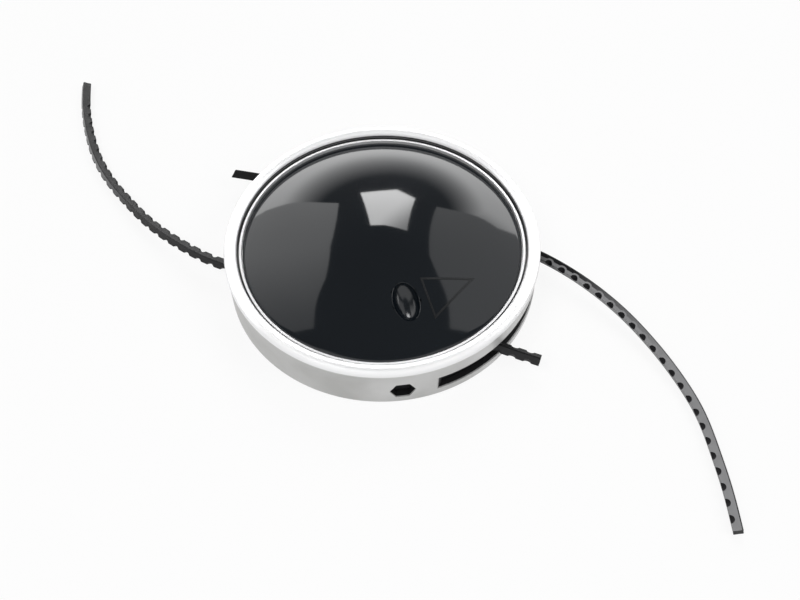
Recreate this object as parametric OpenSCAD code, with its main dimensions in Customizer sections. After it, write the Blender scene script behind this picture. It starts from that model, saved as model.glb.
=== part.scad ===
// Fixed line trimmer head: an aluminium cup with a rolled rim, a turn-lock domed cover and a
// moulded carrier that holds two lengths of notched cutting line pushed straight through it.
// The origin is on the spindle axis, on the face that sits on the machine. +Z is the axis,
// towards the domed cover. The wall openings and the lines repeat at 180 degrees.

/* [Housing] */
// Outer diameter over the rolled rim
head_d = 116; // [112:0.5:124]
// Height of the rim's crown above the base
head_h = 20.2; // [19.6:0.1:23]
// Width of the rolled rim, across its round section
rim_w = 4.7; // [4.2:0.1:5.2]
// Thickness of the housing wall
wall_t = 2.8; // [2.2:0.1:3.4]
// How far the wall stands in from the rim
wall_inset = 0.3; // [0.1:0.1:0.8]
// Thickness of the housing floor
floor_t = 4; // [3.6:0.1:4.6]
// Radius of the edge between wall and base
base_edge_r = 1.4; // [0.6:0.1:2]

/* [Wall openings] */
// Height of each line slot
slot_h = 7; // [6:0.1:7.6]
// Angle where each line slot starts
slot_start = 292; // [286:1:296]
// Angle that each line slot runs through
slot_sweep = 76; // [70:1:84]
// Angle by which each slot end opens outwards
slot_flare = 4; // [1:0.5:5]
// Width of each hexagonal window across its flats
window_af = 8; // [6:0.1:8.6]
// Angle of the hexagonal window
window_angle = 277.5; // [270:0.5:279]

/* [Cover] */
// Rise of the dome from its edge, without the hump
dome_rise = 9.5; // [7:0.1:11]
// Extra rise of the middle hump
hump_rise = 1.5; // [0.8:0.1:3]
// Radius at which the hump's long soft foot runs out
hump_r = 40; // [34:1:46]
// Thickness of the dome shell
dome_t = 2.4; // [1.8:0.1:3]
// Thickness of the dome's edge
dome_edge_t = 1; // [0.8:0.1:1.4]
// Gap between the cover and the bright lip round it
cover_gap = 0.4; // [0.3:0.05:0.6]
// Width of the finger recess
recess_w = 9.1; // [8:0.1:10]
// Length of the finger recess, along the dome's slope
recess_l = 14.5; // [13:0.1:16]
// Depth of the finger recess
recess_depth = 3.8; // [3:0.1:3.9]
// Distance of the finger recess from the axis
recess_at = 31.5; // [29:0.5:36]
// Angle of the finger recess
recess_angle = 286; // [270:1:300]

/* [Turn lock] */
// Number of lugs
lug_count = 3; // [2:1:4]
// Angle that each lug covers
lug_angle = 24; // [16:1:26]
// Turn from locked to free
lock_turn = 30; // [26:1:30]
// How far a lug stands out from the skirt
lug_reach = 1.9; // [1.4:0.1:2.2]
// Thickness of a lug
lug_t = 1.9; // [1.5:0.1:2.1]
// Clearance between fixed and turning pieces
run_gap = 0.3; // [0.25:0.05:0.4]
// Thickness of the lock ring's plate
lock_t = 2; // [1.8:0.1:2.6]
// Thickness of the lock ring's skirt
skirt_t = 1.9; // [1.5:0.1:2.4]
// Thickness of the seat ring's flange over the lugs
flange_t = 1.4; // [1.1:0.1:1.6]
// Thickness of the bright lip round the cover
lip_t = 0.8; // [0.6:0.1:1]
// Width of the dark groove between lip and rim
lip_groove_w = 0.7; // [0.5:0.1:0.9]
// Depth of the dark groove between lip and rim
lip_groove_depth = 1.3; // [0.8:0.1:1.6]

/* [Line carrier] */
// Distance of each line's straight run from the axis
chord_offset = 22.6; // [22:0.1:23]
// Direction of the lines through the head
chord_angle = -19.7; // [-22:0.1:-18]
// Height of the lines' middle above the base
line_z = 7.8; // [7.7:0.05:8]
// Clearance round the line in its channel
channel_gap = 0.5; // [0.4:0.05:0.8]
// Clearance between the carrier and the housing wall
carrier_gap = 0.3; // [0.2:0.05:0.5]
// Thickness of a grip plate under its teeth
grip_t = 0.7; // [0.5:0.1:0.8]
// Height of a grip plate's teeth
tooth_h = 0.5; // [0.3:0.05:0.6]
// Pitch of the line's notches and of the teeth that take them
notch_pitch = 5.6; // [5:0.1:6]
// Teeth on a grip plate
tooth_count = 7; // [5:1:8]
// Thickness of a shoe that bears on a line
shoe_t = 2.4; // [2:0.1:2.8]
// Length of a shoe
shoe_l = 42; // [38:1:46]
// How far a shoe lies below the carrier's top
shoe_sink = 0.9; // [0.8:0.1:1.1]
// How far the lock ring's rib, which holds the shoes down, stands out from the lines' run
rib_out = 5.4; // [4.9:0.1:5.9]
// Width of that rib
rib_w = 2.4; // [2:0.1:3]
// Diameter of the middle pocket for the spindle nut
pocket_d = 37; // [36:0.5:37]
// Width of the mouth that each channel opens into at its long end
mouth_w = 12; // [10:0.5:14]

/* [Arbor] */
// Bore for the machine's spigot
arbor_d = 25.4; // [20:0.1:26]
// Diameter of the arbor plate's boss in the floor
boss_d = 34; // [32:0.5:34.5]
// Width of the base left round the arbor plate
plate_rim = 12; // [11:0.5:13]
// Thickness of the arbor plate
plate_t = 2; // [1.8:0.1:2.2]
// Distance of the base screws from the arbor plate's edge
screw_in = 6; // [5.5:0.1:6.5]
// Diameter of a base screw's thread
screw_d = 4; // [3.8:0.1:4.4]
// Diameter of a base screw's head
screw_head_d = 8; // [7.4:0.1:8.4]
// Length of a base screw
screw_l = 9.5; // [9:0.1:10]
// Outer diameter of a threaded insert
insert_d = 6; // [5.6:0.1:6.4]

/* [Detent] */
// Diameter of a detent ball
ball_d = 4; // [3.6:0.1:4.2]
// Distance of the detent balls from the edge of the carrier's step
ball_in = 3.5; // [3:0.1:4]
// How far a ball stands up from the carrier
ball_out = 0.8; // [0.6:0.05:0.9]
// Wire diameter of a detent spring
wire_d = 0.6; // [0.5:0.05:0.6]
// Turns of a detent spring
spring_turns = 4; // [3:0.5:4]
// Distance of the wave spring's middle line from the detent balls
wave_in = 8.5; // [8:0.1:9]
// Width of the wave spring's strip
wave_w = 3; // [2.6:0.1:3.4]
// Thickness of the wave spring's strip
wave_t = 0.4; // [0.3:0.05:0.5]
// Waves round the wave spring
wave_count = 6; // [4:1:8]

/* [Cutting line] */
// Diameter of the plain round line that stands in for the notched one
line_d = 3.6; // [3.4:0.1:3.8]

/* [Hidden] */

// Fine steps for large rounds and small ones
round_fn = 128;
small_fn = 48;
// Overlap that lets one shape cut cleanly through another
cut = 1;

// Radii, from the wall inwards
rim_r = head_d / 2;
wall_r = rim_r - wall_inset;
bore_r = wall_r + wall_inset - wall_t;
press_gap = 0.05;
ring_r = bore_r - press_gap;
lip_r = rim_r - rim_w - lip_groove_w;
lug_gap = 0.7;
cover_r = lip_r - lip_t - cover_gap;
lug_r = lip_r - lip_t - lug_gap;
lug_run_r = lug_r + run_gap;
gate_gap = 0.2;
gate_r = lug_run_r + gate_gap;
skirt_r = lug_r - lug_reach;
flange_r = skirt_r + run_gap;
carrier_r = bore_r - carrier_gap;
step_r = skirt_r - skirt_t - run_gap;
ball_at = step_r - ball_in;
wave_at = ball_at - wave_in;
rib_r = chord_offset + rib_out;
plate_r = rim_r - plate_rim;
screw_at = plate_r - screw_in;

// Heights, from the line upwards
line_play = 0.1;
grip_top = line_z - line_d / 2 - line_play;
channel_z = grip_top - tooth_h - grip_t;
shoe_z = line_z + line_d / 2 + line_play;
shoe_top = shoe_z + shoe_t;
carrier_top = shoe_top + shoe_sink;
rib_z = shoe_top + run_gap;
ring_z = carrier_top + run_gap;
lug_z = ring_z - lug_t;
step_z = lug_z - run_gap;
flange_z = ring_z + run_gap;
lock_top = ring_z + lock_t;
rim_seat_drop = 2.8;
rim_seat = head_h - rim_seat_drop;

bed_depth = 1.2;
bed_z = carrier_top - bed_depth;
ball_z = carrier_top + ball_out - ball_d / 2;
edge_lift = 0.3;
dome_edge_z = lock_top + edge_lift;

channel_w = line_d + 2 * channel_gap;
slide_gap = 0.2;
slide_w = channel_w - slide_gap;
// The balls stand clear of the channels, one third of a turn apart
ball_count = 3;
ball_turn = 18;
// Half the angle that a ball takes up in its track
track_angle = 4;
// Steps along the dome's profile, and the power that softens the hump's foot
dome_steps = 26;
hump_foot = 3;

// Round crown of the rim, closed over the seat ring's flat top
module housing_profile() {
    difference() {
        union() {
            translate([rim_r - rim_w / 2, head_h - rim_w / 2]) circle(d = rim_w, $fn = small_fn);
            translate([bore_r, base_edge_r])
                square([wall_r - bore_r, head_h - rim_w / 2 - base_edge_r]);
            translate([boss_d / 2 + press_gap, 0])
                square([wall_r - base_edge_r - boss_d / 2 - press_gap, floor_t]);
            translate([bore_r - base_edge_r, base_edge_r])
                square([wall_r - bore_r + base_edge_r, floor_t - base_edge_r]);
            translate([wall_r - base_edge_r, base_edge_r])
                circle(r = base_edge_r, $fn = small_fn);
        }
        translate([lip_r, step_z]) square([bore_r - lip_r, rim_seat - step_z]);
    }
}

// An arc slot through the wall, whose ends open outwards so that no line bears on an edge
module line_slot() {
    land = 0.6;
    reach = rim_r + cut;
    // One end: a short square land, then the flare, carried on past the wall
    flare = [reach, -reach * tan(slot_flare)];
    end = [[0, 0], [bore_r + land, 0], flare, 2 * flare];
    middle = 3 * reach * [cos(slot_sweep / 2), sin(slot_sweep / 2)];
    other_end = [for (i = [len(end) - 1 : -1 : 1])
        let (x = end[i][0], y = -end[i][1])
            [x * cos(slot_sweep) - y * sin(slot_sweep), x * sin(slot_sweep) + y * cos(slot_sweep)]];
    translate([0, 0, line_z - slot_h / 2])
        rotate(slot_start)
            linear_extrude(slot_h)
                difference() {
                    polygon(concat(end, [middle], other_end));
                    circle(r = bore_r - cut, $fn = round_fn);
                }
}

// A hexagonal window with its points to left and right
module wall_window() {
    rotate(window_angle)
        translate([bore_r - cut, 0, line_z])
            rotate([0, 90, 0])
                rotate(90)
                    cylinder(d = window_af / cos(30), h = wall_t + 2 * cut, $fn = 6);
}

module at_screws() {
    for (k = [0 : 3]) rotate(chord_angle + 90 * k) translate([screw_at, 0, 0]) children();
}

module housing() {
    color("silver")
        difference() {
            rotate_extrude($fn = round_fn) housing_profile();
            for (side = [0, 180])
                rotate(side) {
                    line_slot();
                    wall_window();
                }
            translate([0, 0, -cut]) cylinder(r = plate_r + press_gap, h = plate_t + cut, $fn = round_fn);
            at_screws() cylinder(d = screw_d + 2 * press_gap, h = floor_t + cut, $fn = small_fn);
        }
}

// One sector between two radii and two heights
module sector(r_in, r_out, z_low, z_high, from, sweep) {
    rotate(from)
        rotate_extrude(angle = sweep, $fn = round_fn)
            translate([r_in, z_low]) square([r_out - r_in, z_high - z_low]);
}

// The seat ring traps the lugs under its flange and lets them up through three gates
module seat_ring() {
    run_play = 2.4;
    gate_play = 1.2;
    step = 360 / lug_count;
    color("gainsboro")
        difference() {
            rotate_extrude($fn = round_fn)
                polygon([
                    [flange_r, step_z],
                    [ring_r, step_z],
                    [ring_r, rim_seat],
                    [lip_r + lip_groove_w, rim_seat],
                    [lip_r + lip_groove_w, rim_seat - lip_groove_depth],
                    [lip_r, rim_seat - lip_groove_depth],
                    [lip_r, rim_seat],
                    [lip_r - lip_t, rim_seat],
                    [lip_r - lip_t, flange_z + flange_t],
                    [flange_r, flange_z + flange_t]
                ]);
            for (k = [0 : lug_count - 1]) {
                sector(flange_r - cut, lug_run_r, step_z - cut, flange_z,
                    k * step - lug_angle / 2 - run_play / 2, lug_angle + lock_turn + run_play);
                sector(flange_r - cut, gate_r, step_z - cut, flange_z + flange_t + cut,
                    k * step + lock_turn - lug_angle / 2 - gate_play / 2, lug_angle + gate_play);
            }
        }
}

// Steel plate let into the base, with a boss that fills the floor and carries the spigot bore
module arbor_plate() {
    color("slategray")
        difference() {
            union() {
                cylinder(r = plate_r, h = plate_t, $fn = round_fn);
                cylinder(d = boss_d, h = floor_t, $fn = round_fn);
            }
            translate([0, 0, -cut]) cylinder(d = arbor_d, h = floor_t + 2 * cut, $fn = round_fn);
            at_screws() {
                translate([0, 0, -cut]) cylinder(d = screw_d + 2 * press_gap, h = plate_t + 2 * cut, $fn = small_fn);
                cylinder(d1 = screw_head_d + 2 * press_gap, d2 = screw_d + 2 * press_gap,
                    h = (screw_head_d - screw_d) / 2, $fn = small_fn);
            }
        }
}

// Countersunk screws with a hexagon socket, up through the floor into the carrier
module base_screws() {
    socket_af = 2.5;
    socket_depth = 1.6;
    color("dimgray")
        at_screws()
            difference() {
                union() {
                    cylinder(d1 = screw_head_d, d2 = screw_d, h = (screw_head_d - screw_d) / 2, $fn = small_fn);
                    cylinder(d = screw_d, h = screw_l, $fn = small_fn);
                }
                translate([0, 0, -cut])
                    cylinder(d = socket_af / cos(30), h = socket_depth + cut, $fn = 6);
            }
}

module screw_inserts() {
    color("goldenrod")
        at_screws()
            difference() {
                translate([0, 0, floor_t]) cylinder(d = insert_d, h = screw_l - floor_t, $fn = small_fn);
                cylinder(d = screw_d + 2 * press_gap, h = screw_l + cut, $fn = small_fn);
            }
}

// Places its children on a line's straight run: 0 is the left-hand line, 1 the right-hand one
module at_chord(side) {
    rotate(chord_angle + 180 * side) translate([0, -chord_offset, 0]) children();
}

// Black moulding that fills the cup: channels, nut pocket, spring groove and moulded pockets
module line_carrier() {
    mouth_l = 12;
    insert_play = 2 * press_gap;
    insert_room = 0.5;
    rib_play = 0.4;
    half_chord = sqrt(carrier_r * carrier_r - chord_offset * chord_offset);
    relief_at = 25;
    relief_l = 8;
    relief_w = 7;
    relief_wall = 3.7;
    relief_web = 2;
    color([0.11, 0.11, 0.12])
        difference() {
            // The low outer step leaves room for the skirt and lugs
            union() {
                translate([0, 0, floor_t]) cylinder(r = carrier_r, h = step_z - floor_t, $fn = round_fn);
                translate([0, 0, floor_t]) cylinder(r = step_r, h = carrier_top - floor_t, $fn = round_fn);
            }
            translate([0, 0, floor_t - cut]) cylinder(d = pocket_d, h = carrier_top, $fn = round_fn);
            // Groove for the lock ring's rib, and the bed of the wave spring
            ring_cut(rib_r - rib_w / 2 - rib_play, rib_r + rib_w / 2 + rib_play, rib_z - run_gap);
            ring_cut(wave_at - wave_w / 2 - rib_play, wave_at + wave_w / 2 + rib_play, bed_z);
            for (side = [0, 1])
                at_chord(side) {
                    translate([-carrier_r, -channel_w / 2, channel_z])
                        cube([2 * carrier_r, channel_w, carrier_top]);
                    // The long end's mouth opens towards the side that the line bends to
                    translate([-half_chord - cut, 0, channel_z])
                        linear_extrude(carrier_top)
                            polygon([
                                [0, -channel_w / 2],
                                [mouth_l + cut, -channel_w / 2],
                                [mouth_l + cut, channel_w / 2],
                                [0, mouth_w - channel_w / 2]
                            ]);
                }
            at_screws()
                cylinder(d = insert_d + insert_play, h = screw_l + insert_room, $fn = small_fn);
            for (k = [0 : ball_count - 1])
                at_ball(k)
                    translate([0, 0, channel_z])
                        cylinder(d = ball_d + 2 * press_gap, h = carrier_top, $fn = small_fn);
            // Pockets that the moulding leaves between its ribs
            for (side = [0, 1])
                at_chord(side)
                    for (end = [-1, 1])
                        translate([
                            end * relief_at - relief_l / 2,
                            -channel_w / 2 - relief_wall - relief_w,
                            floor_t + relief_web
                        ])
                            cube([relief_l, relief_w, carrier_top]);
        }
}

// A groove between two radii, open upwards from a floor
module ring_cut(r_in, r_out, z_floor) {
    translate([0, 0, z_floor])
        difference() {
            cylinder(r = r_out, h = carrier_top, $fn = round_fn);
            translate([0, 0, -cut]) cylinder(r = r_in, h = carrier_top + 2 * cut, $fn = round_fn);
        }
}

// Stainless strip in the channel's floor, with teeth that sit in the line's notches
module grip_plate(side) {
    plate_l = tooth_count * notch_pitch;
    tooth_w = 1.2;
    color("lightsteelblue")
        at_chord(side) {
            translate([-plate_l / 2, -slide_w / 2, channel_z]) cube([plate_l, slide_w, grip_t]);
            for (k = [0 : tooth_count - 1])
                translate([(k + 0.5) * notch_pitch - plate_l / 2, slide_w / 2, channel_z + grip_t])
                    rotate([90, 0, 0])
                        linear_extrude(slide_w)
                            polygon([[-tooth_w / 2, 0], [tooth_w / 2, 0], [0, tooth_h]]);
        }
}

// Shoe that bears on a line and is held down by the lock ring's rib
module line_shoe(side) {
    bevel = 0.8;
    color("darkslategray")
        at_chord(side)
            translate([0, slide_w / 2, shoe_z])
                rotate([90, 0, 0])
                    linear_extrude(slide_w)
                        polygon([
                            [-shoe_l / 2 + bevel, 0],
                            [shoe_l / 2 - bevel, 0],
                            [shoe_l / 2, bevel],
                            [shoe_l / 2, shoe_t],
                            [-shoe_l / 2, shoe_t],
                            [-shoe_l / 2, bevel]
                        ]);
}

// A closed loop or open strip: rings of points, each ring with the same count
function strip_faces(rings, sides, closed) = concat(
    [for (i = [0 : rings - (closed ? 1 : 2)], j = [0 : sides - 1])
        let (n = (i + 1) % rings, m = (j + 1) % sides)
            [i * sides + j, i * sides + m, n * sides + m, n * sides + j]],
    closed ? [] : [[for (j = [sides - 1 : -1 : 0]) j], [for (j = [0 : sides - 1]) (rings - 1) * sides + j]]
);

// Wave spring that keeps the lock ring tight against the seat ring
module wave_spring() {
    steps = 72;
    wave_play = 0.1;
    swing = (ring_z - bed_z - wave_t) / 2 - wave_play;
    middle = (ring_z + bed_z) / 2;
    corners = [[-1, -1], [-1, 1], [1, 1], [1, -1]];
    points = [for (i = [0 : steps - 1])
        let (a = 360 * i / steps, z = middle + swing * cos(wave_count * a))
            for (c = corners)
                let (r = wave_at + c[0] * wave_w / 2)
                    [r * cos(a), r * sin(a), z + c[1] * wave_t / 2]];
    color("lightgray") polyhedron(points, strip_faces(steps, len(corners), true));
}

// Places its children on a detent
function ball_angle(k) = chord_angle + ball_turn + 360 * k / ball_count;
module at_ball(k) {
    rotate(ball_angle(k)) translate([ball_at, 0, 0]) children();
}

module detent_ball(k) {
    color("white") at_ball(k) translate([0, 0, ball_z]) sphere(d = ball_d, $fn = small_fn);
}

// Helical spring under a detent ball
module detent_spring(k) {
    per_turn = 12;
    wire_sides = 6;
    coil_play = 0.2;
    low = channel_z + wire_d / 2;
    high = ball_z - ball_d / 2 - wire_d / 2;
    coil_r = (ball_d - wire_d) / 2 - coil_play;
    rings = ceil(per_turn * spring_turns) + 1;
    points = [for (i = [0 : rings - 1])
        let (a = 360 * i / per_turn, z = low + (high - low) * i / (rings - 1))
            for (j = [0 : wire_sides - 1])
                let (b = 360 * j / wire_sides, r = coil_r + wire_d / 2 * cos(b))
                    [r * cos(a), r * sin(a), z + wire_d / 2 * sin(b)]];
    color("gray") at_ball(k) polyhedron(points, strip_faces(rings, wire_sides, false));
}

// Turning ring under the cover: lugs outside, a rib for the shoes and tracks for the balls
module lock_ring() {
    hub_step = 1;
    hub_r = pocket_d / 2 + hub_step;
    track_play = 0.6;
    track_w = ball_d + track_play;
    track_depth = ball_out;
    step = 360 / lug_count;
    color([0.16, 0.16, 0.17])
        difference() {
            union() {
                // The ring starts and ends between two lugs
                rotate(step / 2)
                    rotate_extrude($fn = round_fn)
                        polygon([
                            [hub_r, ring_z],
                            [rib_r - rib_w / 2, ring_z],
                            [rib_r - rib_w / 2, rib_z],
                            [rib_r + rib_w / 2, rib_z],
                            [rib_r + rib_w / 2, ring_z],
                            [skirt_r - skirt_t, ring_z],
                            [skirt_r - skirt_t, lug_z],
                            [skirt_r, lug_z],
                            [skirt_r, lock_top],
                            [hub_r, lock_top]
                        ]);
                for (k = [0 : lug_count - 1])
                    sector(skirt_r - cut, lug_r, lug_z, ring_z, k * step - lug_angle / 2, lug_angle);
            }
            for (k = [0 : ball_count - 1])
                rotate(ball_angle(k))
                    sector(ball_at - track_w / 2, ball_at + track_w / 2, ring_z - cut, ring_z + track_depth,
                        -lock_turn - track_angle, lock_turn + 2 * track_angle);
        }
}

// Height of the dome's outside at a radius: a shallow crown, and a low hump that runs out softly
function dome_z(r) =
    dome_edge_z + dome_edge_t
    + dome_rise * (1 - pow(r / cover_r, 2))
    + (r < hump_r ? hump_rise * pow(1 - pow(r / hump_r, 2), hump_foot) : 0);

// The dome's shell stands on the lock ring by a thick foot
module dome_profile() {
    foot_w = 5;
    foot_r = skirt_r - foot_w;
    top = [for (i = [0 : dome_steps]) let (r = cover_r * i / dome_steps) [r, dome_z(r)]];
    inside = [for (i = [dome_steps : -1 : 0]) let (r = foot_r * i / dome_steps) [r, dome_z(r) - dome_t]];
    polygon(concat(
        top,
        [[cover_r, dome_edge_z], [skirt_r, dome_edge_z], [skirt_r, lock_top], [foot_r, lock_top]],
        inside
    ));
}

// A round-ended bar that lies along the dome's slope over the finger recess
module recess_bar(grow) {
    bar_r = recess_w / 2 + grow;
    slope = atan((dome_z(recess_at - recess_l / 2) - dome_z(recess_at + recess_l / 2)) / recess_l);
    half = recess_l / 2 - recess_w / 2;
    rotate(recess_angle)
        translate([recess_at, 0, dome_z(recess_at) + recess_w / 2 - recess_depth])
            rotate([0, 90 + slope, 0]) {
                translate([0, 0, -half]) cylinder(r = bar_r, h = 2 * half, $fn = small_fn);
                for (end = [-half, half]) translate([0, 0, end]) sphere(r = bar_r, $fn = small_fn);
            }
}

module cover() {
    recess_wall = 2;
    color([0.08, 0.09, 0.1])
        difference() {
            union() {
                rotate_extrude($fn = round_fn) dome_profile();
                // The boss that keeps a wall round the recess
                intersection() {
                    recess_bar(recess_wall);
                    translate([0, 0, lock_top])
                        rotate_extrude($fn = round_fn) translate([0, -lock_top]) dome_fill();
                }
            }
            recess_bar(0);
        }
}

// The whole space under the dome, which trims the recess's boss to the dome
module dome_fill() {
    polygon(concat(
        [for (i = [0 : dome_steps]) let (r = cover_r * i / dome_steps) [r, dome_z(r) - dome_t / 2]],
        [[cover_r, lock_top], [0, lock_top]]
    ));
}

// Points that each line runs through, from its short end, through the head, to its long tip
left_route = [
    [55.5, -45, 7.6], [48, -42.3, 7.7], [40, -38.8, 7.8], [30, -34.8, 7.8], [10, -27.6, 7.8],
    [-7.6, -21.3, 7.8], [-26, -14.7, 7.8], [-44, -8.3, 7.8], [-52.5, -5.6, 7.8], [-59.5, -3.3, 7.8],
    [-66.5, -0.1, 7.6], [-73, 4.3, 7.1], [-79.5, 9.1, 6.4], [-85.5, 13.8, 5.7], [-91.5, 19.5, 4.9],
    [-97.5, 26, 4], [-103, 33, 3.2], [-108.8, 39.7, 2.6], [-114.3, 47.7, 2.3], [-119.9, 57.3, 2.2],
    [-124.5, 69, 2.2], [-127.5, 78, 2.2], [-130, 87.5, 2.2], [-132, 100.5, 2.2]
];
right_route = [
    [-59.5, 42.8, 7.7], [-51, 41, 7.8], [-42.5, 39, 7.8], [-30, 34.8, 7.8], [-10, 27.6, 7.8],
    [7.6, 21.3, 7.8], [26, 14.7, 7.8], [42, 9, 7.8], [52, 5, 7.8], [60, 0.7, 7.8],
    [67, -4.3, 7.6], [74, -9.6, 7], [81, -16, 6.2], [88, -23.3, 5.2], [93.8, -31.1, 4.3],
    [100.8, -41.9, 3.1], [104.6, -49.5, 2.5], [108.5, -58.5, 2.2], [110.9, -68.5, 2.2],
    [112, -78.5, 2.2], [113.2, -87, 2.2], [113.8, -96, 2.2], [114, -105.5, 2.2]
];

// Direction of a route at one of its points, and a ring of points square to it
function unit(v) = v / norm(v);
function heading(route, i) = unit(route[min(i + 1, len(route) - 1)] - route[max(i - 1, 0)]);
function ring_at(point, along, sides) =
    let (side = unit(cross([0, 0, 1], along)), up = cross(along, side))
        [for (j = [0 : sides - 1])
            let (b = 360 * (j + 0.5) / sides)
                point + line_d / 2 * (cos(b) * side + sin(b) * up)];

module cutting_line(route) {
    sides = 8;
    points = [for (i = [0 : len(route) - 1]) each ring_at(route[i], heading(route, i), sides)];
    color([0.15, 0.15, 0.16]) polyhedron(points, strip_faces(len(route), sides, false));
}

housing();
seat_ring();
arbor_plate();
base_screws();
screw_inserts();
line_carrier();
grip_plate(0);  // grip_plate_left
grip_plate(1);  // grip_plate_right
line_shoe(0);  // line_shoe_left
line_shoe(1);  // line_shoe_right
wave_spring();
detent_ball(0);  // detent_ball_1
detent_ball(1);  // detent_ball_2
detent_ball(2);  // detent_ball_3
detent_spring(0);  // detent_spring_1
detent_spring(1);  // detent_spring_2
detent_spring(2);  // detent_spring_3
lock_ring();
cover();
cutting_line(left_route);  // line_left
cutting_line(right_route);  // line_right
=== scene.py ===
import math

import bpy
import bmesh
from mathutils import Matrix, Vector


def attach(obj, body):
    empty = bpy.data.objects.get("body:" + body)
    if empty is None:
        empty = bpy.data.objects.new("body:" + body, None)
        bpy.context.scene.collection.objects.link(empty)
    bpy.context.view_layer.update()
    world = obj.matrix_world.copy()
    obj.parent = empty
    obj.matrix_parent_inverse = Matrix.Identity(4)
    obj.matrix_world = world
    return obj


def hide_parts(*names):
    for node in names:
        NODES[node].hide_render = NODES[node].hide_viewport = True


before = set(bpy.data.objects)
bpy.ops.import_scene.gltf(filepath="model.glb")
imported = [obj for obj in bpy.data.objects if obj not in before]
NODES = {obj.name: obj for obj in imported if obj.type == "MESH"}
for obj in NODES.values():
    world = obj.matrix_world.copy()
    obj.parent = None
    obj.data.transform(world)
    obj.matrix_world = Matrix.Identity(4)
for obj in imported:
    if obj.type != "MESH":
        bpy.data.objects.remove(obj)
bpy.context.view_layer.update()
MM = 0.001
UP = Vector((0, 0, 1))

# Sizes of the cover as the part's source has them, with the power that softens the hump's foot
COVER_R = 51.4 * MM
EDGE_LOW = 15.6 * MM
EDGE_THICK = 1.0 * MM
DOME_RISE = 9.5 * MM
HUMP_RISE = 1.5 * MM
HUMP_R = 40 * MM
HUMP_FOOT = 3
DOME_WALL = 2.4 * MM
SKIRT_R = 49.2 * MM
FOOT_WIDTH = 5 * MM
LOCK_TOP = 15.3 * MM
RECESS_AT = 31.5 * MM
RECESS_ANGLE = math.radians(286)

# Fineness of the turned cover: steps round it, along its outside and along its inside
COVER_TURNS = 224
OUTSIDE_STEPS = 56
INSIDE_STEPS = 12
EDGE_ROUND = 0.3 * MM
# The dome's outside starts this share of the edge's round in from its rim
EDGE_EASE = 0.8
# Radii of the small flat ends at the axis, inside the dome and on its crown
INSIDE_END_R = 2 * MM
CROWN_END_R = 0.4 * MM
# Edges sharper than this stay sharp, in degrees
COVER_SHARP = 25
LINE_SHARP = 28

# The finger recess: half sizes of its oval bowl, and how far the bowl's middle stands over the dome
RECESS_HALF = Vector((7.25, 4.55, 4.2)) * MM
RECESS_LIFT = 0.4 * MM
BOWL_SEGMENTS = 96
# The boss under the recess: its wall, and its top and bottom below the dome's outside
BOSS_WALL = 0.9 * MM
BOSS_TOP = 1.0 * MM
BOSS_BOTTOM = 5.0 * MM
BOSS_SIDES = 64
# The rounding of the recess's edge: its width, its segments and the least angle that counts as an edge
RECESS_ROUND = 0.3 * MM
ROUND_SEGMENTS = 3
RECESS_CREASE = math.radians(22)
# The edge is looked for this many half lengths round the bowl's middle, and this far under the dome
RECESS_REACH = 1.3
RECESS_SINK = 0.05 * MM

# The lock sign on the cover: a triangle's corners seen from above, its stroke, its height over
# the dome, how deep it is sunk, and the cuts that let each stroke follow the dome
SIGN_CORNERS = ((13.4 * MM, -21.2 * MM), (32.9 * MM, -19.1 * MM), (18.6 * MM, -36 * MM))
SIGN_STROKE = 0.75 * MM
SIGN_HEIGHT = 0.12 * MM
SIGN_SUNK = 0.06 * MM
SIGN_CUTS = 11

# The lines: width over the flats, how far each face dips, the round of a corner, and notches
LINE_FLAT = 3.3 * MM
FACE_DIP = 0.11 * MM
CORNER_ROUND = 0.18 * MM
# A plain corner's width to each side and the depth cut off its tip, in corner rounds
CORNER_FLANK = 1.6
CORNER_TIP = 1.2
NOTCH_PITCH = 5.6 * MM
NOTCH_R = 1.45 * MM
NOTCH_DEPTH = 1.07 * MM
NOTCH_STEPS = 10
# Between notches a line has stations this many times closer than the pitch
PLAIN_STEPS = 4
# A side counts as cut where its notch is deeper than this
CUT_SHOWS = 0.3 * MM
# A stub's slanting cut dies away over this length
LEAN_LENGTH = 4 * MM
# Each line is twisted most where the head holds it, between these distances from its stub
TWIST_FROM = 20 * MM
TWIST_TO = 115 * MM
# Turn of each line's section at its stub, past the head and at its tip, in degrees
LEFT_TURNS = (-10, -28, -19)
RIGHT_TURNS = (175, 153, 153)
# Step of the curve through a route, its smoothing passes, and the steps between points of the cord's path
ROUTE_STEP = 1.2 * MM
SMOOTHING = 50
PATH_STRIDE = 3

# Painted sheen on the lines, grey that stands in for the studio light reflected off black nylon: how
# strong it is on a line's sides, and between which distances from its stub it comes in
LEFT_FAINT = 0.08
LEFT_TEETH = 0.75
LEFT_TEETH_TURN = (170 * MM, 205 * MM)
LEFT_SIDES_TURN = (110 * MM, 130 * MM)
RIGHT_TEETH = 1.1
RIGHT_FAINT = 0.06
RIGHT_TEETH_TURN = (122 * MM, 145 * MM)
RIGHT_LOW_TURN = (112 * MM, 145 * MM)
RIGHT_HIGH_TURN = (140 * MM, 185 * MM)
RIGHT_SIDES_TURN = (120 * MM, 140 * MM)

# The camera stands where the photograph was taken from
CAMERA_AT = Vector((6.51, -218.25, 291.54)) * MM
CAMERA_ELEVATION = math.radians(54.96)
CAMERA_LENS = 42.74
CAMERA_NEAR = 10 * MM
CAMERA_FAR = 20


def route(points):
    """A route's points in metres, from millimetres."""
    return [Vector(p) * MM for p in points]


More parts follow.
